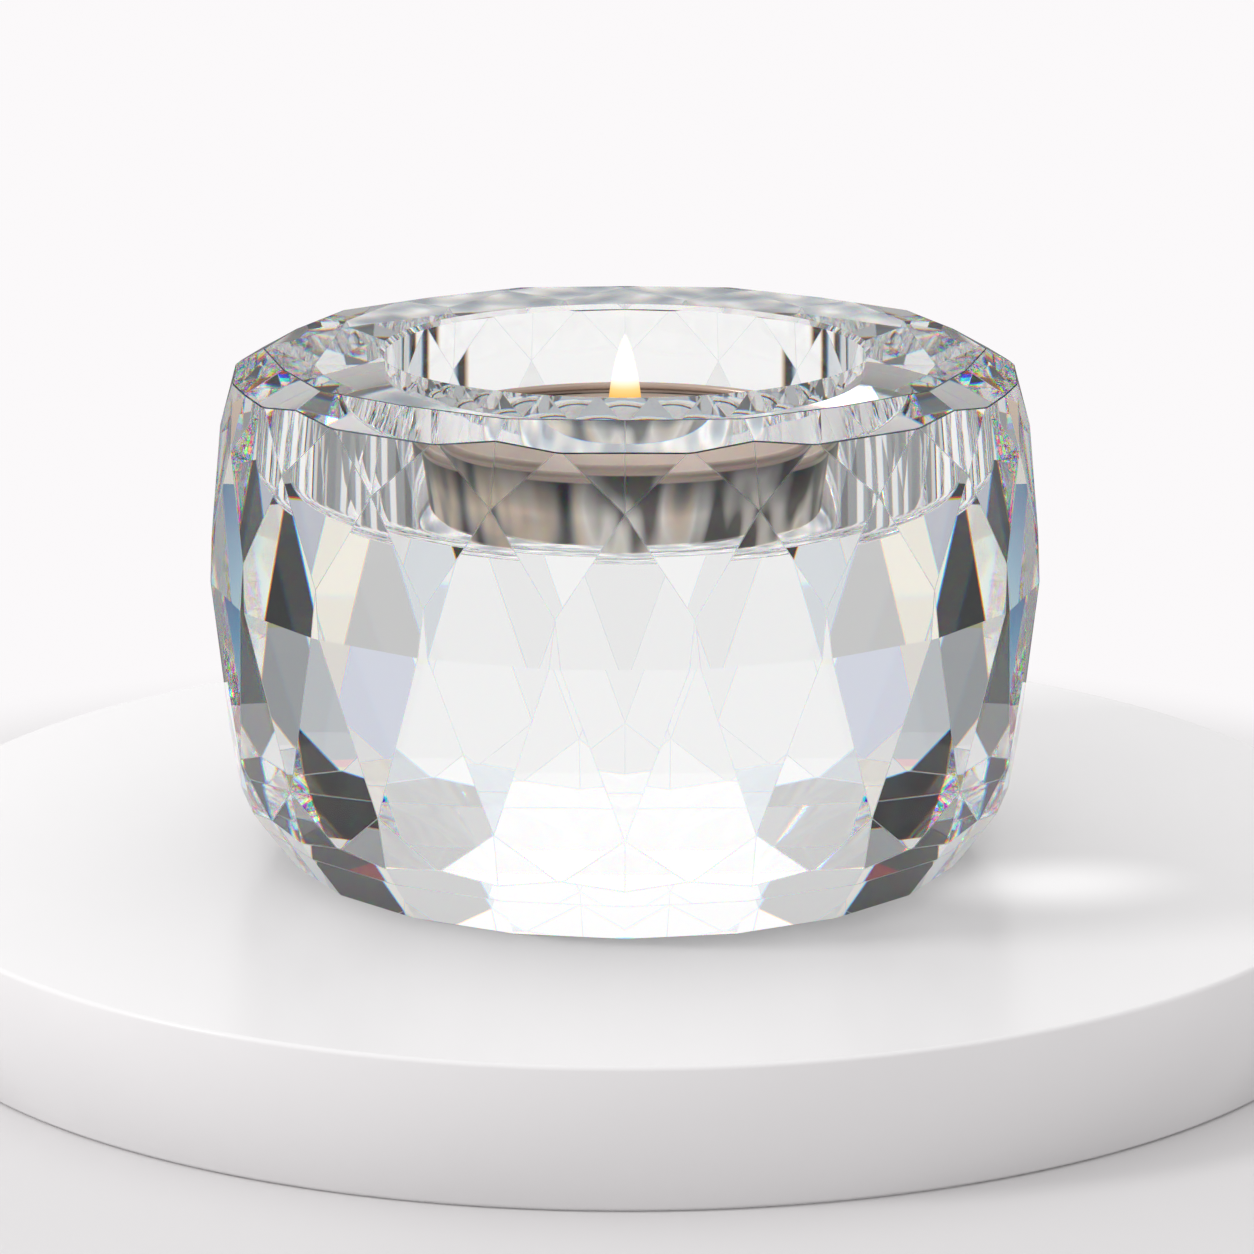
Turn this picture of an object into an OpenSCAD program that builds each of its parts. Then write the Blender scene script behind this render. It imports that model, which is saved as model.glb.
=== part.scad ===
// Faceted crystal tealight holder: a solid clear barrel, ground all round in rows
// of flat facets, with a round blind well in its flat top that takes a tealight.
// Millimetres, +Z up. The origin is the middle of the base. The front is -Y.

/* [Crystal] */
// Height from the base to the flat top
crystal_h = 43.7; // [42:0.1:56]
// Width across the long facets at the waist
waist_d = 72; // [66:0.1:90]
// Facet pairs round the barrel
sectors = 10; // [8:1:14]

/* [Crown facets] */
// Inset of the flat top's corners from the waist
table_in = 4.95; // [4.2:0.05:6]
// How far the middle of each top edge stands out from a straight edge
table_swell = 0.7; // [0.2:0.05:1.2]
// Inset of the crown's lower corners from the waist
crown_in = 2.5; // [2:0.05:3.2]
// Drop from the flat top to the crown's lower corners
crown_drop = 1.35; // [1:0.05:2]

/* [Barrel facets] */
// Inset of the star points, where six facets meet, from the waist
star_in = 1.05; // [0.8:0.05:1.6]
// Drop from the flat top to the star points
star_drop = 6.7; // [5.5:0.1:9]
// Fold between the two upper halves that share a star point, each way
upper_fold = 3; // [2:0.1:5]
// Inset of the diamonds' lower points from the waist
diamond_in = 0.15; // [0.05:0.05:0.5]
// Drop from the flat top to the diamonds' lower points
diamond_drop = 15.2; // [13:0.1:17]
// Height of the waist above the base
waist_h = 24.4; // [20:0.1:25]

/* [Lower facets] */
// Inset of the kites' lower points from the waist
kite_in = 1.4; // [1.2:0.05:2.2]
// Height of the kites' lower points above the base
kite_h = 9.8; // [8:0.1:12]
// Fold between the two lower halves that share a kite's point, each way
lower_fold = 5.4; // [4:0.1:7]
// Inset of the skirt's upper corners from the waist
skirt_in = 2.4; // [2.1:0.05:3]
// Height of the skirt's upper corners above the base
skirt_h = 5.2; // [4.6:0.1:6.5]
// Inset of the foot bevel's upper corners from the waist
bevel_in = 3.5; // [3.2:0.05:4.2]
// Height of the foot bevel's upper corners above the base
bevel_h = 3.6; // [3:0.1:4.2]
// Inset of the base's corners from the waist
base_in = 6.2; // [5.2:0.05:7.5]

/* [Tealight well] */
// Diameter of the well
well_d = 41.4; // [39:0.1:46]
// Depth of the well below the flat top
well_depth = 13.4; // [11:0.1:20]
// Polished chamfer round the well's mouth
mouth_chamfer = 0.4; // [0.2:0.05:0.8]
// Radius ground where the well's wall meets its floor
floor_round = 1.3; // [0.4:0.05:1.6]

/* [Tealight] */
// Gap all round between the tealight's rim and the well
cup_gap = 1.5; // [0.5:0.05:3]
// Height of the aluminium cup
cup_h = 6.7; // [5:0.1:10]
// Thickness of the cup's wall and floor
cup_wall = 0.3; // [0.2:0.05:0.5]
// How far the cup narrows from its rim to its base
cup_draft = 1.4; // [0.6:0.05:2]
// Radius of the curled bead round the cup's rim
bead_r = 0.35; // [0.25:0.05:0.5]
// Height of the recess pressed up into the cup's base
base_recess = 0.4; // [0.2:0.05:0.8]
// Width of the ring that the cup stands on
foot_ring = 1.6; // [1:0.1:3]
// Drop from the cup's rim to the wax
wax_drop = 0.9; // [0.5:0.05:2]
// Gap between the wax and the metal round it
wax_gap = 0.03; // [0.02:0.01:0.1]

/* [Wick] */
// Diameter of the wick
wick_d = 1.1; // [0.8:0.05:2]
// Length of wick that stands out of the wax
wick_out = 3.1; // [2:0.1:6]
// Diameter of the wick holder's tin disc
tab_d = 12.5; // [8:0.1:16]
// Thickness of the wick holder's metal
tab_t = 0.25; // [0.2:0.05:0.4]
// Height of the neck crimped round the wick
neck_h = 2.6; // [1.5:0.1:3.6]

/* [Hidden] */
$fn = 128;
eps = 0.01;

// The barrel has a meridian every step degrees. Even meridians carry the corners of
// the flat top, odd ones the middles of its edges. The facets repeat every two steps.
meridians = 2 * sectors;
step = 360 / meridians;
half = step / 2;
waist_r = waist_d / 2;
last = meridians - 1;

// A corner is given as [radius, angle round the axis, height].
function inset(d) = waist_r - d;
function even(i) = i % 2 == 0;
function turned(c, a) = [c[0], c[1] + a, c[2]];
function to_xyz(c) = [c[0] * cos(c[1]), c[0] * sin(c[1]), c[2]];

// A facet's plane is [outward normal, distance from the origin]. It faces the angle
// az and is tilted so that it holds the two corners p and q, p the higher one.
function reach(c, az) = c[0] * cos(c[1] - az);
function facet(az, p, q) =
    let (tilt = atan2(reach(q, az) - reach(p, az), p[2] - q[2]))
    [to_xyz([cos(tilt), az, sin(tilt)]), cos(tilt) * reach(p, az) + sin(tilt) * p[2]];
function level(z) = [[0, 0, 1], z];

// The corner where three facets meet.
function corner(a, b, c) =
    (a[1] * cross(b[0], c[0]) + b[1] * cross(c[0], a[0]) + c[1] * cross(a[0], b[0]))
    / (a[0] * cross(b[0], c[0]));

// Corners that set the cut, on meridian 0, from the top down.
table_pt = [inset(table_in), 0, crystal_h];
crown_pt = [inset(crown_in), 0, crystal_h - crown_drop];
star_pt = [inset(star_in), 0, crystal_h - star_drop];
diamond_pt = [inset(diamond_in), half, crystal_h - diamond_drop];
kite_pt = [inset(kite_in), 0, kite_h];
skirt_pt = [inset(skirt_in), 0, skirt_h];
bevel_pt = [inset(bevel_in), 0, bevel_h];
base_pt = [inset(base_in), 0, 0];

// The crown facets lean by crown_fold each way from the middle of their top edge.
top_edge_half = table_pt[0] * sin(step);
crown_fold = atan(table_swell / top_edge_half);
mid_r = table_pt[0] * cos(step) + table_swell;

// The lances fold at the waist, where the barrel is widest.
lance_waist_pt = [waist_r, half, waist_h];

// Facets by row. i counts meridians, and facets between two meridians take the lower.
function crown(i) =
    let (a = (even(i) ? i : i + 1) * step)
    let (toward = even(i) ? 1 : -1)
    facet(a + toward * (step - crown_fold), turned(table_pt, a), turned(crown_pt, a));
function upper_half(i, side) =
    facet(i * step + side * upper_fold, turned(crown_pt, i * step), turned(star_pt, i * step));
function diamond(i) =
    facet(i * step + half, turned(star_pt, i * step), turned(diamond_pt, i * step));
function kite(i) =
    facet(i * step, turned(star_pt, i * step), turned(diamond_pt, i * step));
function lance(i) =
    facet(i * step + half, turned(diamond_pt, i * step), turned(lance_waist_pt, i * step));
function lance_tail(i) =
    facet(i * step + half, turned(lance_waist_pt, i * step), turned(kite_pt, i * step));
function lower_half(i, side) =
    facet(i * step + side * lower_fold, turned(kite_pt, i * step), turned(skirt_pt, i * step));
function skirt(i) =
    facet(i * step + half, turned(skirt_pt, i * step), turned(bevel_pt, i * step));

// One meridian's own corners, then those in the sector up to the next meridian.
function crown_foot(i) =
    even(i) ? to_xyz(turned(crown_pt, i * step))
        : corner(crown(i), upper_half(i, 1), upper_half(i, -1));
function meridian_corners(i) = concat([crown_foot(i)], [
    for (c = [even(i) ? table_pt : [mid_r, 0, crystal_h],
        star_pt, diamond_pt, kite_pt, skirt_pt, bevel_pt, base_pt])
        to_xyz(turned(c, i * step))
]);
function sector_corners(i) = [
    corner(diamond(i), crown(i), upper_half(i, 1)),
    corner(diamond(i), crown(i), upper_half(i + 1, -1)),
    corner(level(waist_h), kite(i), lance(i)),
    corner(level(waist_h), kite(i + 1), lance(i)),
    corner(lance_tail(i), skirt(i), lower_half(i, 1)),
    corner(lance_tail(i), skirt(i), lower_half(i + 1, -1))
];
crystal_corners = [for (i = [0:last]) each concat(meridian_corners(i), sector_corners(i))];

well_r = well_d / 2;
well_floor = crystal_h - well_depth;
cup_r = well_r - cup_gap;
cup_base_r = cup_r - cup_draft;
wax_top = cup_h - wax_drop;
tab_z = cup_wall + base_recess;
neck_r = wick_d / 2 + tab_t;

// The barrel with every facet ground flat, before the well is bored.
module cut_barrel() {
    hull() polyhedron(crystal_corners, [[for (i = [0:len(crystal_corners) - 1]) i]]);
}

// What the core drill takes out: wall, rounded floor corner and polished mouth.
module well() {
    translate([0, 0, well_floor]) rotate_extrude() {
        difference() {
            square([well_r, well_depth + eps]);
            translate([well_r - floor_round, 0]) difference() {
                translate([0, -eps]) square([floor_round + eps, floor_round + eps]);
                translate([0, floor_round]) circle(floor_round);
            }
        }
        translate([0, well_depth - mouth_chamfer])
            polygon([[0, 0], [well_r, 0], [well_r + mouth_chamfer + eps, mouth_chamfer + eps],
                [0, mouth_chamfer + eps]]);
    }
}

module crystal_body() {
    color([0.93, 0.96, 0.98, 0.4]) difference() {
        cut_barrel();
        well();
    }
}

// Outline of the cup's drawn wall at a height, shrunk by some thickness.
function cup_wall_r(z, inward) = cup_base_r + cup_draft * z / cup_h - inward;

module tealight_cup() {
    ring_in = cup_base_r - foot_ring;
    color("silver") translate([0, 0, well_floor]) rotate_extrude() {
        polygon([
            [0, base_recess], [ring_in, base_recess], [ring_in + base_recess, 0],
            [cup_base_r - cup_wall, 0], [cup_base_r, cup_wall],
            [cup_wall_r(cup_h - bead_r, 0), cup_h - bead_r],
            [cup_wall_r(cup_h - bead_r, cup_wall), cup_h - bead_r],
            [cup_wall_r(cup_wall, cup_wall), cup_wall],
            [ring_in + base_recess + cup_wall, cup_wall],
            [ring_in + cup_wall, tab_z], [0, tab_z]
        ]);
        translate([cup_r - bead_r, cup_h - bead_r]) circle(bead_r);
    }
}

module wax() {
    bottom = tab_z + wax_gap;
    inner = cup_wall + wax_gap;
    color([0.96, 0.94, 0.9]) translate([0, 0, well_floor]) difference() {
        rotate_extrude() polygon([
            [0, bottom], [cup_wall_r(bottom, inner), bottom],
            [cup_wall_r(wax_top, inner + bead_r), wax_top], [0, wax_top]
        ]);
        cylinder(r = tab_d / 2 + wax_gap, h = tab_z + tab_t + wax_gap);
        cylinder(r = neck_r + wax_gap, h = tab_z + neck_h + wax_gap);
        cylinder(r = wick_d / 2 + wax_gap, h = cup_h);
    }
}

module wick_holder() {
    color("gainsboro") translate([0, 0, well_floor + tab_z]) difference() {
        union() {
            cylinder(d = tab_d, h = tab_t);
            cylinder(r = neck_r, h = neck_h);
        }
        translate([0, 0, tab_t]) cylinder(d = wick_d + wax_gap, h = neck_h);
    }
}

module wick() {
    bottom = tab_z + tab_t;
    color([0.12, 0.1, 0.1]) translate([0, 0, well_floor + bottom])
        cylinder(d = wick_d, h = wax_top + wick_out - bottom);
}

crystal_body();
tealight_cup();
wax();
wick_holder();
wick();
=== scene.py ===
"""Looks for the faceted crystal tealight holder: materials, flame, plinth, light and camera.

Metres, +Z up, front at -Y.
"""
import math

import bmesh
import bpy
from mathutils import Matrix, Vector


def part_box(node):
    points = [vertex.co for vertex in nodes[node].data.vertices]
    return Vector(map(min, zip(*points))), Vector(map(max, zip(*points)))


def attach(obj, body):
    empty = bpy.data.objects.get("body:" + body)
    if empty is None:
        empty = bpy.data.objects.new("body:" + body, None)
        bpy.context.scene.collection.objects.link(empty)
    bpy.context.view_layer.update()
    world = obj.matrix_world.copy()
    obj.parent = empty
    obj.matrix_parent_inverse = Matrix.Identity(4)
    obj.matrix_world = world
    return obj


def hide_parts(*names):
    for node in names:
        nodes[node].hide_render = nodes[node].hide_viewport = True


MM = 0.001
WHITE = (1, 1, 1)
BLACK = (0, 0, 0)

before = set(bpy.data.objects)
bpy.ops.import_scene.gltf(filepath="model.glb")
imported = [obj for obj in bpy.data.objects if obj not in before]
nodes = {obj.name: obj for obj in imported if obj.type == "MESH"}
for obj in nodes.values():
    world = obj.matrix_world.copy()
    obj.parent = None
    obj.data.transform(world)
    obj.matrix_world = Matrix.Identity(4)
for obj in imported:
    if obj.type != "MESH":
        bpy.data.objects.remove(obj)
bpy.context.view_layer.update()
scene = bpy.context.scene
base_z, top_z = (corner.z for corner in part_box("crystal_body"))  # its base and its flat top


# ---------------------------------------------------------------- node helpers
def empty_tree(owner):
    """The node tree of a new material or world, with nothing in it."""
    owner.use_nodes = True
    owner.node_tree.nodes.clear()
    return owner.node_tree


def new_material(name):
    mat = bpy.data.materials.new(name)
    return mat, empty_tree(mat)


def add(tree, kind, **settings):
    node = tree.nodes.new(kind)
    for key, value in settings.items():
        setattr(node, key, value)
    return node


def feed(tree, socket, value):
    """Gives a socket a number or a colour, or links it to another node's output."""
    if isinstance(value, bpy.types.NodeSocket):
        tree.links.new(value, socket)
    elif isinstance(value, tuple):
        socket.default_value = (*value, 1)
    else:
        socket.default_value = value


def place(tree):
    """The point being shaded, in the CAD frame."""
    return add(tree, "ShaderNodeTexCoord").outputs["Object"]


def split_xyz(tree, vector):
    node = add(tree, "ShaderNodeSeparateXYZ")
    feed(tree, node.inputs["Vector"], vector)
    return node.outputs


def noise(tree, where, scale, detail=2):
    node = add(tree, "ShaderNodeTexNoise")
    feed(tree, node.inputs["Vector"], where)
    feed(tree, node.inputs["Scale"], scale)
    feed(tree, node.inputs["Detail"], detail)
    return node.outputs["Fac"]


def ramp(tree, source, stops):
    """A colour that runs through the stops, each (place from 0 to 1, colour)."""
    node = add(tree, "ShaderNodeValToRGB")
    elements = node.color_ramp.elements
    while len(elements) < len(stops):
        elements.new(0.5)
    for element, (at, colour) in zip(elements, stops):
        element.position = at
        element.color = (*colour, 1)
    feed(tree, node.inputs["Fac"], source)
    return node.outputs["Color"]


def remap(tree, source, start, end, first=0, last=1, shape="LINEAR"):
    """A number that runs from first to last while the source runs from start to end."""
    node = add(tree, "ShaderNodeMapRange", interpolation_type=shape)
    feed(tree, node.inputs["Value"], source)
    feed(tree, node.inputs["From Min"], start)
    feed(tree, node.inputs["From Max"], end)
    feed(tree, node.inputs["To Min"], first)
    feed(tree, node.inputs["To Max"], last)
    return node.outputs["Result"]


def height_share(tree, where, low, high):
    """0 at the height low, 1 at the height high."""
    return remap(tree, split_xyz(tree, where)["Z"], low, high)


def calc(tree, operation, *values):
    node = add(tree, "ShaderNodeMath", operation=operation)
    for socket, value in zip(node.inputs, values):
        feed(tree, socket, value)
    return node.outputs[0]


def mix(tree, factor, low, high, blend="MIX"):
    """The colour low where the factor is 0, and high where it is 1."""
    node = add(tree, "ShaderNodeMix", data_type="RGBA", blend_type=blend)
    factor_socket, low_socket, high_socket = (node.inputs[k] for k in (0, 6, 7))
    feed(tree, factor_socket, factor)
    feed(tree, low_socket, low)
    feed(tree, high_socket, high)
    return node.outputs[2]


def length(tree, vector):
    node = add(tree, "ShaderNodeVectorMath", operation="LENGTH")
    feed(tree, node.inputs[0], vector)
    return node.outputs["Value"]


def bump(tree, height, strength, distance):
    node = add(tree, "ShaderNodeBump")
    feed(tree, node.inputs["Height"], height)
    feed(tree, node.inputs["Strength"], strength)
    feed(tree, node.inputs["Distance"], distance)
    return node.outputs["Normal"]


def principled(tree, **values):
    """A Principled shader's output, from values by input name with _ for each space."""
    shader = add(tree, "ShaderNodeBsdfPrincipled")
    for key, value in values.items():
        feed(tree, shader.inputs[key.replace("_", " ")], value)
    return shader.outputs["BSDF"]


def glass(tree, ior, colour=WHITE, rough=0.0):
    shader = add(tree, "ShaderNodeBsdfGlass")
    feed(tree, shader.inputs["Color"], colour)
    feed(tree, shader.inputs["Roughness"], rough)
    feed(tree, shader.inputs["IOR"], ior)
    return shader


def emission(tree, colour, strength=1.0):
    light = add(tree, "ShaderNodeEmission")
    feed(tree, light.inputs["Color"], colour)
    feed(tree, light.inputs["Strength"], strength)
    return light.outputs["Emission"]


def both(tree, one, other):
    """Two shaders added together."""
    node = add(tree, "ShaderNodeAddShader")
    feed(tree, node.inputs[0], one)
    feed(tree, node.inputs[1], other)
    return node.outputs[0]


def either(tree, factor, low, high):
    """The shader low where the factor is 0, and high where it is 1."""
    node = add(tree, "ShaderNodeMixShader")
    feed(tree, node.inputs["Fac"], factor)
    feed(tree, node.inputs[1], low)
    feed(tree, node.inputs[2], high)
    return node.outputs[0]


def show(tree, surface):
    out = add(tree, "ShaderNodeOutputMaterial")
    feed(tree, out.inputs["Surface"], surface)


# ---------------------------------------------------------------- crystal
GLASS_IOR = 1.55
IOR_SPREAD = 0.0045  # how far red's and blue's index lie from green's

# Outer edges are broken by a hair's breadth, and those at the rim by a little more. A slot is a place in
# the crystal's list of materials.
EDGE_BREAK, EDGE_SLOT = 0.045 * MM, 1
RIM_BREAK, RIM_SLOT = 0.075 * MM, 2

# Where an edge lies on the crystal, as shares of the crystal's height.
RIM_FROM = 0.93
WAIST = (0.4, 0.7)
FOOT_TO = 0.125
FOOT_RING = (0.07, 0.10)
LEVEL_WITHIN = 0.001

PAST_CUP = 3 * MM  # corners further than this beyond the cup are on the crystal's outside
MERGE = 0.0005 * MM  # corners closer than this are one
FLAT = math.radians(0.1)  # facets that meet at less than this are one
SLIGHT = math.radians(0.5)  # an edge must turn by more than this to be broken
ROUND = math.radians(20)  # faces that meet at less than this shade as one curve
OUTWARDS = 0.8  # cosine of the angle to the radius, above which an edge runs outwards


def crystal_material():
    """Clear lead crystal. What the eye meets first splits white light a little, so strong edges carry
    thin blue and orange fringes; the polish has the faintest waviness of a hand-held wheel."""
    mat, tree = new_material("crystal")
    plain = glass(tree, GLASS_IOR)
    red = glass(tree, GLASS_IOR - IOR_SPREAD, (1, 0, 0))
    green = glass(tree, GLASS_IOR, (0, 1, 0))
    blue = glass(tree, GLASS_IOR + IOR_SPREAD, (0, 0, 1))
    polish = bump(tree, noise(tree, place(tree), scale=45, detail=1), strength=0.02, distance=0.2 * MM)
    for shader in (plain, red, green, blue):
        feed(tree, shader.inputs["Normal"], polish)
    fringed = both(tree, both(tree, red.outputs[0], green.outputs[0]), blue.outputs[0])
    path = add(tree, "ShaderNodeLightPath")
    show(tree, either(tree, path.outputs["Is Camera Ray"], plain.outputs[0], fringed))
    return mat


def edge_material(name, dull, bright):
    """The broken edges: polished less finely than the facets, so each draws a thin line. Their glass is
    also tinted from dull to bright, painted shade that darkens the line.
    """
    mat, tree = new_material(name)
    grind = noise(tree, place(tree), scale=700)
    tint = ramp(tree, grind, [(0.3, dull), (0.7, bright)])
    show(tree, glass(tree, GLASS_IOR, tint, rough=0.28).outputs[0])
    return mat


def point_at_axis(mesh):
    """The well is drilled true, so the normals of its smooth faces all point at the crystal's axis."""
    normals = []
    for face in mesh.polygons:
        for k in face.loop_indices:
            normal = mesh.corner_normals[k].vector.copy()
            inwards = -mesh.vertices[mesh.loops[k].vertex_index].co.to_2d()
            if face.use_smooth and inwards.length > MM:
                level = inwards.normalized() * normal.to_2d().length
                normal = Vector((level.x, level.y, normal.z))
            normals.append(normal)
    mesh.normals_split_custom_set(normals)


def broken_edges(node_name, name):
    """The crystal with its outer facet edges broken by a hair's breadth, as polishing leaves them."""
    bm = bmesh.new()
    bm.from_mesh(nodes[node_name].data)
    bmesh.ops.remove_doubles(bm, verts=bm.verts, dist=MERGE)
    bmesh.ops.dissolve_limit(bm, angle_limit=FLAT, verts=bm.verts, edges=bm.edges)
    bottom, top = (corner.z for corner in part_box(node_name))
    inside_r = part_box("tealight_cup")[1].x + PAST_CUP

    def outside(v):
        return math.hypot(v.co.x, v.co.y) > inside_r

    def heights(e):
        """An edge's lower and upper end, as shares of the crystal's height, and whether it is level."""
        low, high = sorted((v.co.z - bottom) / (top - bottom) for v in e.verts)
        return low, high, high - low < LEVEL_WITHIN

    def blended(e):
        """The facets roll over the waist and into the foot, so the edges there are left as cut."""
        low, high, level = heights(e)
        in_foot = high < FOOT_TO and not (level and FOOT_RING[0] < low < FOOT_RING[1])
        return in_foot or (level and WAIST[0] < low < WAIST[1])

    def rim(e):
        """The edges round the table and the crown's foot, but not those that run outwards."""
        along = (e.verts[1].co - e.verts[0].co).to_2d()
        radius = (e.verts[1].co + e.verts[0].co).to_2d()
        outwards = abs(along.dot(radius)) > OUTWARDS * along.length * radius.length
        return not outwards and heights(e)[0] > RIM_FROM

    def side(e):
        return not rim(e) and not blended(e)

    for width, wanted, slot in ((RIM_BREAK, rim, RIM_SLOT), (EDGE_BREAK, side, EDGE_SLOT)):
        edges = [e for e in bm.edges if len(e.link_faces) == 2 and all(outside(v) for v in e.verts)
                 and not any(f.material_index for f in e.link_faces)
                 and e.calc_face_angle() > SLIGHT and wanted(e)]
        bmesh.ops.bevel(bm, geom=edges, offset=width, offset_type="OFFSET", segments=1,
                        profile=0.5, affect="EDGES", clamp_overlap=True, material=slot)
    for face in bm.faces:
        face.smooth = not any(outside(v) for v in face.verts)
    for edge in bm.edges:
        edge.smooth = len(edge.link_faces) == 2 and edge.calc_face_angle() < ROUND
    mesh = bpy.data.meshes.new(name)
    bm.to_mesh(mesh)
    bm.free()
    point_at_axis(mesh)
    ob = bpy.data.objects.new(name, mesh)
    scene.collection.objects.link(ob)
    return ob


crystal = broken_edges("crystal_body", "cut_crystal")
crystal.data.materials.append(crystal_material())
# The edges' tints are painted shade: a faint grey along the sides, and nearly black round the rim, a
# painted dark line.
crystal.data.materials.append(edge_material("crystal_edge", (0.84, 0.87, 0.90), (0.96, 0.98, 1.0)))
crystal.data.materials.append(edge_material("crystal_rim_edge_painted_dark", (0.10, 0.12, 0.15), (0.22, 0.25, 0.29)))
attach(crystal, "crystal")
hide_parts("crystal_body")


# ---------------------------------------------------------------- tealight
def cup_material():
    """Drawn foil: aluminium with fine draw lines. Its colour carries painted reflections as broad soft
    upright bands, painted shade that makes it darker up its side, and painted warm light along the rim,
    where it would pick up the wax and the flame."""
    mat, tree = new_material("cup")
    where = place(tree)
    lo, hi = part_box("tealight_cup")

    def upright(across, along):
        """Noise with its own scale across the cup and along its height."""
        stretch = add(tree, "ShaderNodeMapping")
        stretch.inputs["Scale"].default_value = (across, across, along)
        feed(tree, stretch.inputs["Vector"], where)
        return noise(tree, stretch.outputs["Vector"], scale=1)

    # Painted reflections: upright bands of dark and bright in the foil's colour.
    painted_reflections = ramp(tree, upright(across=170, along=8), [
        (0.40, (0.03, 0.03, 0.035)), (0.44, (0.36, 0.355, 0.35)), (0.49, (0.84, 0.71, 0.58)),
        (0.55, (1.0, 0.97, 0.93)), (0.62, (0.16, 0.155, 0.15))])
    height = height_share(tree, where, lo.z, hi.z)
    # Painted shade: darker up its side.
    shade = ramp(tree, height, [
        (0.0, (1.0, 0.98, 0.95)), (0.4, (0.95, 0.93, 0.90)), (0.62, (0.52, 0.52, 0.52)),
        (0.85, (0.24, 0.24, 0.25))])
    side = mix(tree, 1, painted_reflections, shade, blend="MULTIPLY")
    # Painted warm light along the rim, for the wax and the flame, with the metal made less metallic
    # there.
    at_rim = ramp(tree, height, [(0.86, BLACK), (0.88, WHITE)])
    show(tree, principled(
        tree,
        Base_Color=mix(tree, at_rim, side, (0.62, 0.48, 0.40)),
        Metallic=remap(tree, at_rim, 0, 1, first=1.0, last=0.3),
        Roughness=0.3,
        Normal=bump(tree, upright(across=1500, along=20), strength=0.2, distance=0.1 * MM)))
    return mat


def wax_material():
    """Paraffin: slightly mottled, waxy and see-through at the skin. Its tone is a darker, warmer
    brown-grey than the wax's own, painted shade from the well and painted warm light from the flame.
    """
    mat, tree = new_material("wax")
    cloud = noise(tree, place(tree), scale=160, detail=4)
    show(tree, principled(
        tree,
        # Painted shade and warm flame light: a brown-grey darker than the wax's own colour.
        Base_Color=ramp(tree, cloud, [(0.3, (0.50, 0.385, 0.32)), (0.7, (0.60, 0.47, 0.39))]),
        Roughness=0.35,
        Subsurface_Weight=0.4,
        Subsurface_Scale=2 * MM,
        Normal=bump(tree, cloud, strength=0.2, distance=0.2 * MM)))
    return mat


def holder_material():
    """Tinned steel with a fine grain."""
    mat, tree = new_material("wick_holder")
    grain = noise(tree, place(tree), scale=900)
    show(tree, principled(
        tree,
        Base_Color=ramp(tree, grain, [(0.3, (0.5, 0.5, 0.5)), (0.7, (0.7, 0.7, 0.69))]),
        Metallic=1.0,
        Roughness=0.35))
    return mat


def wick_material():
    """Cotton braid, charred black towards the flame."""
    mat, tree = new_material("wick")
    where = place(tree)
    lo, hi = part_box("wick")
    height = height_share(tree, where, lo.z, hi.z)
    braid = add(tree, "ShaderNodeTexWave", bands_direction="DIAGONAL")
    feed(tree, braid.inputs["Scale"], 900)
    feed(tree, braid.inputs["Vector"], where)
    show(tree, principled(
        tree,
        Base_Color=ramp(tree, height, [(0.55, (0.35, 0.28, 0.2)), (0.68, (0.02, 0.017, 0.015))]),
        Roughness=0.9,
        Normal=bump(tree, braid.outputs["Fac"], strength=0.8, distance=0.1 * MM)))
    return mat


def dress(node_name, mat):
    for slot in nodes[node_name].material_slots:
        slot.material = mat


dress("tealight_cup", cup_material())
dress("wax", wax_material())
dress("wick_holder", holder_material())
dress("wick", wick_material())


# ---------------------------------------------------------------- flame
FLAME_WIDTH = 2.85 * MM
FLAME_OVER_WICK = 0.2 * MM  # how far the flame reaches down over the wick
FLAME_OVER_TOP = 1.3 * MM  # how far its tip stands above the crystal


def lathe(name, profile, sides=48):
    """A closed surface of revolution round the Z axis from (radius, height) pairs."""
    verts, faces = [], []
    for r, z in profile:
        for k in range(sides):
            a = 2 * math.pi * k / sides
            verts.append((r * math.cos(a), r * math.sin(a), z))
    for j in range(len(profile) - 1):
        for k in range(sides):
            n = (k + 1) % sides
            faces.append((j * sides + k, j * sides + n, (j + 1) * sides + n, (j + 1) * sides + k))
    faces.append(tuple(reversed(range(sides))))
    faces.append(tuple((len(profile) - 1) * sides + k for k in range(sides)))
    mesh = bpy.data.meshes.new(name)
    mesh.from_pydata(verts, [], faces)
    mesh.update()
    for p in mesh.polygons:
        p.use_smooth = True
    ob = bpy.data.objects.new(name, mesh)
    scene.collection.objects.link(ob)
    return ob


def flame_profile(foot, tip, width, steps=32):
    """A candle flame's outline: a round foot, widest just above it, drawn out to a fine tip."""
    foot_width = 0.55  # share of the full width, at the very foot
    foot_height = 0.06  # share of the height in which the foot rounds out
    belly = 0.45  # how much the sides swell before they draw in
    fineness = 0.8  # under 1, the sides bow outwards up to the tip
    tip_r = 0.02 * MM
    points = []
    for j in range(steps + 1):
        t = j / steps
        rounding = foot_width + (1 - foot_width) * math.sqrt(min(1.0, t / foot_height))
        taper = (1 - t) ** fineness * (1 + belly * t)
        points.append((max(width / 2 * rounding * taper, tip_r), foot + (tip - foot) * t))
    return points


def flame_material(foot, tip):
    """Amber where it leaves the wick, and nearly white from a third of the way up."""
    mat, tree = new_material("flame")
    glow = ramp(tree, height_share(tree, place(tree), foot, tip), [
        (0.0, (0.95, 0.42, 0.10)), (0.10, (0.98, 0.50, 0.12)), (0.22, (1.0, 0.66, 0.26)),
        (0.30, (1.0, 0.86, 0.62)), (0.36, (1.0, 0.98, 0.90)), (1.0, (1.0, 0.98, 0.90))])
    show(tree, emission(tree, glow, strength=1.15))
    return mat


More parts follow.
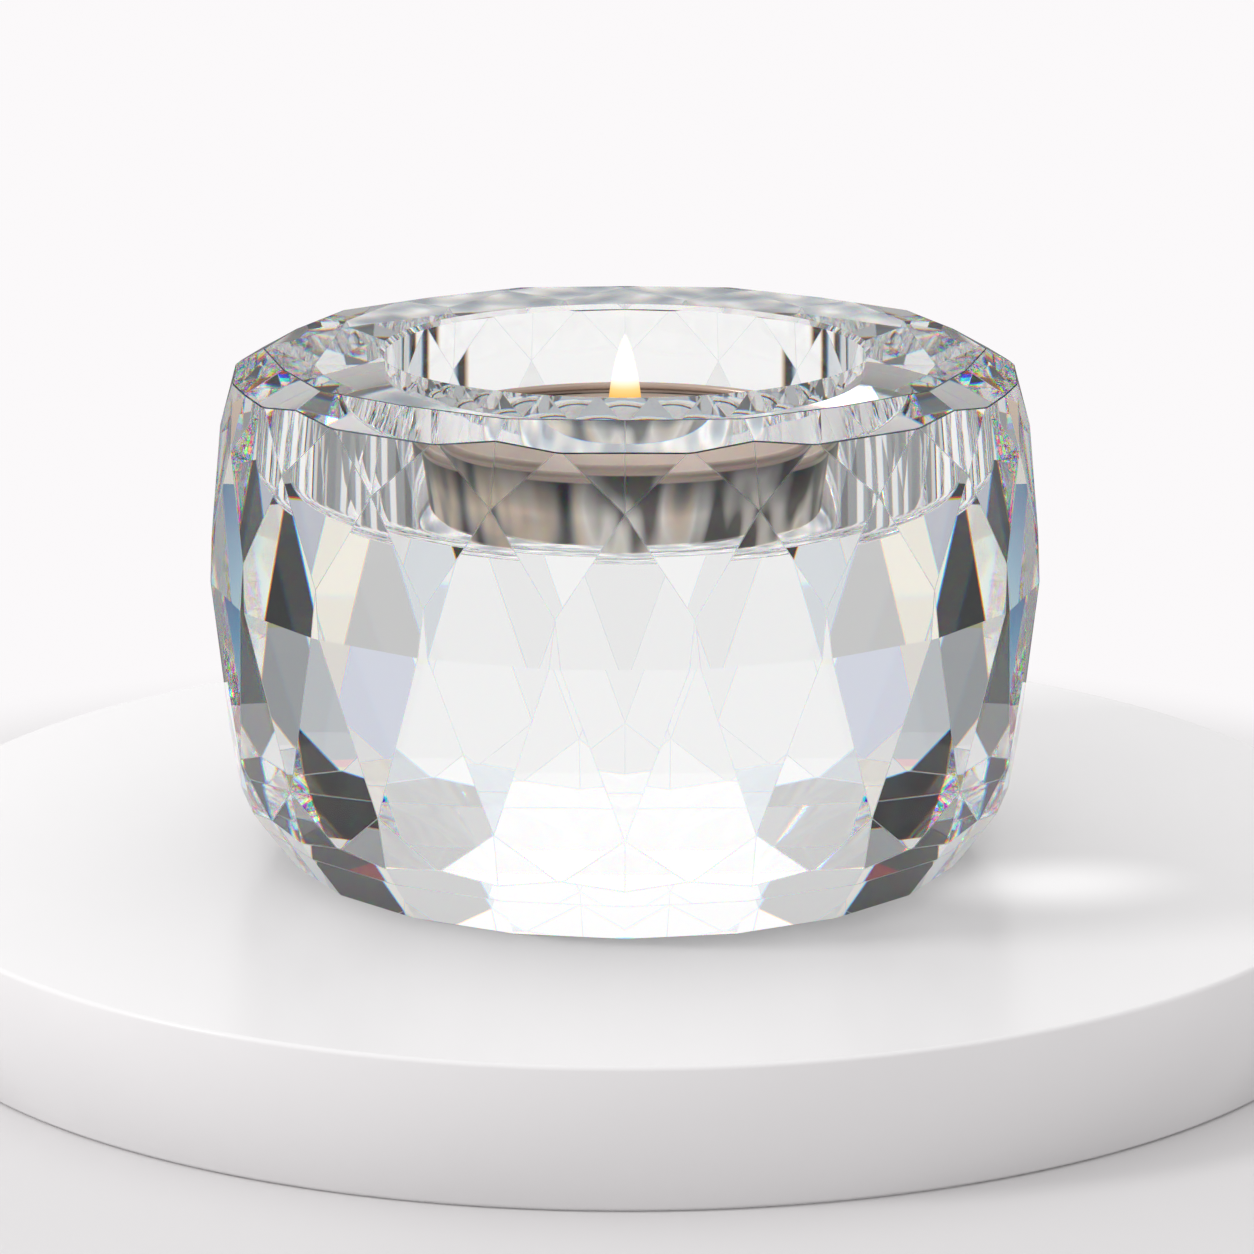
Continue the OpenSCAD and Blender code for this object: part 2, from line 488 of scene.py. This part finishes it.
flame_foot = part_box("wick")[1].z - FLAME_OVER_WICK
flame_tip = top_z + FLAME_OVER_TOP
flame = lathe("flame", flame_profile(flame_foot, flame_tip, FLAME_WIDTH))
flame.data.materials.append(flame_material(flame_foot, flame_tip))
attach(flame, "tealight")


# ---------------------------------------------------------------- plinth and floor
BACKDROP = (0.965, 0.945, 0.955)
PAINT_SPECULAR = 0.18
MOTTLE = 0.985  # the paint's darkest tone, as a share of its tint

PLINTH_TOP = base_z - 0.03 * MM
PLINTH_THICK = 11.8 * MM
FLOOR_MELTS = (88 * MM, 114 * MM)  # the floor runs out into the backdrop between these radii

# Painted light, as emission: the light that the crystal gathers under its base, and what spills out on
# the plinth to its right.
GLOW = 1.05
GLOW_R = 28.6 * MM  # a little inside the base's edge
GLOW_EDGE = 1 * MM  # the width in which it fades at that radius
UNDER_BASE_SHADE = (0.30, 0.305, 0.31)  # painted shade: the board's tint there, darkened as if in the crystal's shade
SPILL = 0.34
SPILL_TINT = (0.78, 0.775, 0.77)
SPILL_AT = (36 * MM, -14 * MM, PLINTH_TOP)
SPILL_SIZE = (15 * MM, 10 * MM, 1)  # half its length and half its width
SPILL_TURN = math.radians(8)


def disc(name, radius, top, thick, round_r, centre_y=0.0, sides=256):
    """A flat disc whose upper edge is rounded and whose lower edge is chamfered, both by round_r."""
    centre_r = 0.01 * MM
    arc_steps = 8
    profile = [(centre_r, top - thick), (radius - round_r, top - thick), (radius, top - thick + round_r)]
    for k in range(arc_steps + 1):
        a = math.pi / 2 * k / arc_steps
        profile.append((radius - round_r + round_r * math.cos(a), top - round_r + round_r * math.sin(a)))
    profile.append((centre_r, top))
    ob = lathe(name, profile, sides)
    for v in ob.data.vertices:
        v.co.y += centre_y
    return ob


def paint(tree, where, tint):
    """The tint of painted board, very slightly mottled."""
    return ramp(tree, noise(tree, where, scale=30), [(0.3, tuple(c * MOTTLE for c in tint)), (0.7, tint)])


def from_axis(tree, where):
    """How far a point lies from the crystal's axis."""
    flat = add(tree, "ShaderNodeVectorMath", operation="MULTIPLY")
    feed(tree, flat.inputs[0], where)
    flat.inputs[1].default_value = (1, 1, 0)
    return length(tree, flat.outputs["Vector"])


def plinth_material(tint):
    """Painted board. Under the crystal it carries painted shade, and painted light as an emission mottled
    like the light the crystal gathers; some of that painted light spills out to the right as a soft glow."""
    mat, tree = new_material("plinth")
    where = place(tree)
    under = remap(tree, from_axis(tree, where), GLOW_R - GLOW_EDGE, GLOW_R, 1, 0, "SMOOTHSTEP")
    # Painted caustics: a mottled emission under the crystal.
    painted_caustics = ramp(tree, noise(tree, where, scale=190, detail=1), [
        (0.36, (0.36, 0.39, 0.43)), (0.46, (0.54, 0.58, 0.62)), (0.54, (0.76, 0.74, 0.70)),
        (0.62, WHITE)])
    patch = add(tree, "ShaderNodeMapping", vector_type="TEXTURE")
    patch.inputs["Location"].default_value = SPILL_AT
    patch.inputs["Rotation"].default_value = (0, 0, SPILL_TURN)
    patch.inputs["Scale"].default_value = SPILL_SIZE
    feed(tree, patch.inputs["Vector"], where)
    # Painted glow that spills out to the right.
    spill = remap(tree, length(tree, patch.outputs["Vector"]), 0, 1, SPILL, 0, "SMOOTHSTEP")
    show(tree, principled(
        tree,
        # Painted shade in the board's colour under the crystal.
        Base_Color=mix(tree, under, paint(tree, where, tint), UNDER_BASE_SHADE),
        Roughness=0.24,
        Specular_IOR_Level=PAINT_SPECULAR,
        Emission_Color=mix(tree, under, SPILL_TINT, painted_caustics),
        Emission_Strength=calc(tree, "MULTIPLY_ADD", under, GLOW, spill)))
    return mat


def floor_material(tint):
    """Painted board that runs out into the backdrop."""
    mat, tree = new_material("floor")
    where = place(tree)
    board = principled(tree, Base_Color=paint(tree, where, tint), Roughness=0.6,
                       Specular_IOR_Level=PAINT_SPECULAR)
    far = remap(tree, from_axis(tree, where), *FLOOR_MELTS, shape="SMOOTHSTEP")
    show(tree, either(tree, far, board, emission(tree, BACKDROP)))
    return mat


plinth = disc("plinth", radius=65 * MM, top=PLINTH_TOP, thick=PLINTH_THICK, round_r=0.4 * MM,
              centre_y=3 * MM)
plinth.data.materials.append(plinth_material(tint=(0.84, 0.825, 0.83)))
floor = disc("floor", radius=3.0, top=PLINTH_TOP - PLINTH_THICK, thick=1 * MM, round_r=0.1 * MM)
floor.data.materials.append(floor_material(tint=(0.70, 0.685, 0.69)))
floor.visible_transmission = False
floor.visible_glossy = False


# ---------------------------------------------------------------- room
# The studio as the crystal sees it: for each band of elevation, panels by azimuth from straight behind
# the crystal (0) round to the camera (180), the same left and right. A band is (lowest elevation,
# panels), and a panel is (start azimuth, brightness, tint). The tints stand for the colours that cut
# crystal splits off the edges of a light. The panels were set band by band to bring the facets'
# tones near the photograph's.
PLAIN = (1, 1, 1)
COOL = (0.95, 0.99, 1.03)
BLUE = (0.92, 0.95, 1.07)
WARM = (1.04, 1, 0.94)
CREAM = (1.04, 1, 0.90)
BY_CAMERA = [(160, 0.72, PLAIN)]
LOW_FRONT = [(104, 0.05, COOL), (114, 0.8, COOL), (126, 0.05, COOL), (140, 0.45, PLAIN)] + BY_CAMERA
HIGH_FRONT = [(66, 0.85, PLAIN), (78, 0.02, COOL), (86, 0.8, WARM), (100, 0.03, COOL), (160, 0.55, PLAIN)]
STUDIO = [
    (-90, [(0, 0.95, PLAIN), (12.4, 0.01, WARM), (16.6, 0.62, PLAIN), (26, 0.28, COOL), (46, 0.36, PLAIN),
           (56, 0.8, PLAIN), (66, 0.34, COOL), (78, 0.2, PLAIN), (96, 0.35, PLAIN), (120, 0.4, COOL),
           (150, 0.5, PLAIN)] + BY_CAMERA),
    (-18.5, [(0, 0.93, PLAIN), (12.6, 0.03, COOL), (15.6, 0.7, COOL), (23, 0.76, PLAIN), (38, 0.55, BLUE),
             (50, 0.08, COOL), (59.6, 0.8, WARM), (72, 0.04, COOL), (84, 0.85, PLAIN)] + LOW_FRONT),
    (-15.6, [(0, 0.84, PLAIN), (15, 0.74, COOL), (24, 0.6, PLAIN), (29, 0.85, CREAM), (38.5, 0.04, COOL),
             (47, 0.8, PLAIN), (51, 0.08, COOL), (60, 0.85, WARM), (72, 0.04, COOL),
             (84, 0.85, PLAIN)] + LOW_FRONT),
    (-12.8, [(0, 0.89, PLAIN), (22.5, 0.6, PLAIN), (29.5, 0.92, CREAM), (38.5, 0.05, COOL),
             (47, 0.8, PLAIN), (51, 0.05, COOL), (60, 0.85, WARM), (72, 0.04, COOL),
             (84, 0.85, WARM)] + LOW_FRONT),
    (-9.8, [(0, 0.93, PLAIN), (22.8, 0.74, BLUE), (30, 0.74, WARM), (38.5, 0.36, COOL), (48, 0.8, PLAIN),
            (52, 0.04, COOL), (61, 0.85, PLAIN), (72, 0.04, COOL), (84, 0.85, PLAIN), (104, 0.05, COOL),
            (114, 0.8, COOL), (126, 0.05, COOL), (140, 0.4, PLAIN)] + BY_CAMERA),
    (-5.6, [(0, 0.98, PLAIN), (19.5, 0.74, COOL), (25, 0.76, PLAIN), (31, 0.56, COOL), (38, 0.2, COOL),
            (46, 0.8, WARM), (55, 0.15, COOL), (62, 0.8, PLAIN), (72, 0.04, COOL), (84, 0.85, PLAIN),
            (104, 0.05, COOL), (118, 0.8, COOL), (132, 0.05, COOL), (146, 0.35, PLAIN)] + BY_CAMERA),
    (-2.8, [(0, 1.0, PLAIN), (26, 0.72, PLAIN), (34.5, 0.02, COOL), (42, 0.75, PLAIN), (54, 0.12, COOL),
            (62, 0.85, PLAIN), (72, 0.03, COOL), (84, 0.85, WARM), (104, 0.04, COOL), (118, 0.85, PLAIN),
            (134, 0.05, COOL), (146, 0.3, PLAIN)] + BY_CAMERA),
    (6, [(0, 1.06, PLAIN), (12.5, 0.92, COOL), (17.7, 0.64, PLAIN), (24, 0.74, WARM), (32, 0.2, COOL),
         (42, 0.75, COOL), (54, 0.02, COOL)] + HIGH_FRONT),
    (16.7, [(0, 1.08, PLAIN), (22.5, 0.6, PLAIN), (31, 0.01, COOL), (43, 0.6, COOL),
            (54, 0.01, COOL)] + HIGH_FRONT),
    (24.5, [(0, 0.95, PLAIN), (31, 0.4, COOL), (43, 0.6, COOL), (54, 0.02, COOL)] + HIGH_FRONT),
    (36, [(0, 0.62, COOL), (34, 0.15, COOL), (48, 0.9, PLAIN), (60, 0.55, COOL), (76, 0.15, COOL),
          (90, 0.62, PLAIN), (109, 1.1, PLAIN), (143, 0.15, COOL), (160, 0.5, COOL)]),
]
SOFT = 1.3  # degrees over which one panel fades into the next
SHEEN = 0.2  # how much of the studio shows in mirror reflections off the crystal

# The smooth dome that lights matt surfaces: its level, and how much is added towards each side.
DOME_LEVEL = 0.80
DOME_UP = 0.30
DOME_BACK = 0.15
DOME_LEFT = 0.20


def room():
    """The camera sees an even pale backdrop, matt surfaces are lit by a smooth dome, and the crystal
    sees the studio's panels."""
    world = bpy.data.worlds.new("room")
    scene.world = world
    tree = empty_tree(world)
    x, y, z = split_xyz(tree, add(tree, "ShaderNodeTexCoord").outputs["Generated"])
    turn = calc(tree, "DIVIDE", calc(tree, "ARCTAN2", calc(tree, "ABSOLUTE", x), y), math.pi)

    def panels(stops):
        tones = [tuple(level * c for c in tint) for _, level, tint in stops]
        fades = [(0.0, tones[0])]
        for (at, _, _), before, after in zip(stops[1:], tones, tones[1:]):
            fades += [((at - SOFT / 2) / 180, before), ((at + SOFT / 2) / 180, after)]
        return ramp(tree, turn, fades)

    studio = panels(STUDIO[0][1])
    for low_el, stops in STUDIO[1:]:
        above = calc(tree, "GREATER_THAN", z, math.sin(math.radians(low_el)))
        studio = mix(tree, above, studio, panels(stops))
    dome = calc(tree, "MULTIPLY_ADD", calc(tree, "MAXIMUM", z, 0.0), DOME_UP, DOME_LEVEL)
    dome = calc(tree, "MULTIPLY_ADD", y, DOME_BACK, dome)
    dome = calc(tree, "MULTIPLY_ADD", x, -DOME_LEFT, dome)
    path = add(tree, "ShaderNodeLightPath").outputs
    sheen = calc(tree, "MULTIPLY", path["Is Reflection Ray"], path["Is Singular Ray"])
    seen = mix(tree, calc(tree, "MULTIPLY", sheen, 1 - SHEEN), studio, BLACK)
    seen = mix(tree, path["Is Diffuse Ray"], seen, dome)
    seen = mix(tree, path["Is Camera Ray"], seen, BACKDROP)
    light = add(tree, "ShaderNodeBackground")
    feed(tree, light.inputs["Color"], seen)
    out = add(tree, "ShaderNodeOutputWorld")
    feed(tree, out.inputs["Surface"], light.outputs["Background"])


def softbox(name, at, aim, size, watts):
    """A square area light, size across, that faces aim."""
    data = bpy.data.lights.new(name, "AREA")
    data.shape = "SQUARE"
    data.size = size
    data.energy = watts
    ob = bpy.data.objects.new(name, data)
    ob.location = at
    ob.rotation_euler = (Vector(aim) - Vector(at)).to_track_quat("-Z", "Y").to_euler()
    scene.collection.objects.link(ob)


room()
softbox("key", at=(-0.84, -0.20, 0.66), aim=(0, 0, 0.02), size=0.20, watts=3.1)


# ---------------------------------------------------------------- camera
CAMERA_AT = (0, -0.4302, 0.1270)
CAMERA_DIPS = math.radians(14.09)  # how far it looks down from level
SENSOR, LENS = 36, 146.07  # both in millimetres
SHIFT = 0.0016  # a share of the frame's width, to the right
CLIP = (0.01, 20)  # metres
BOUNCES = 64  # with fewer, light trapped in the crystal's corners ends in black

camera_data = bpy.data.cameras.new("camera")
camera_data.sensor_width = SENSOR
camera_data.lens = LENS
camera_data.shift_x = SHIFT
camera_data.clip_start, camera_data.clip_end = CLIP
camera = bpy.data.objects.new("camera", camera_data)
camera.location = CAMERA_AT
camera.rotation_euler = (math.radians(90) - CAMERA_DIPS, 0, 0)
scene.collection.objects.link(camera)
scene.camera = camera

scene.view_settings.view_transform = "Standard"
scene.cycles.max_bounces = BOUNCES
scene.cycles.transmission_bounces = BOUNCES
scene.cycles.glossy_bounces = BOUNCES
scene.cycles.diffuse_bounces = 4
scene.cycles.sample_clamp_indirect = 4
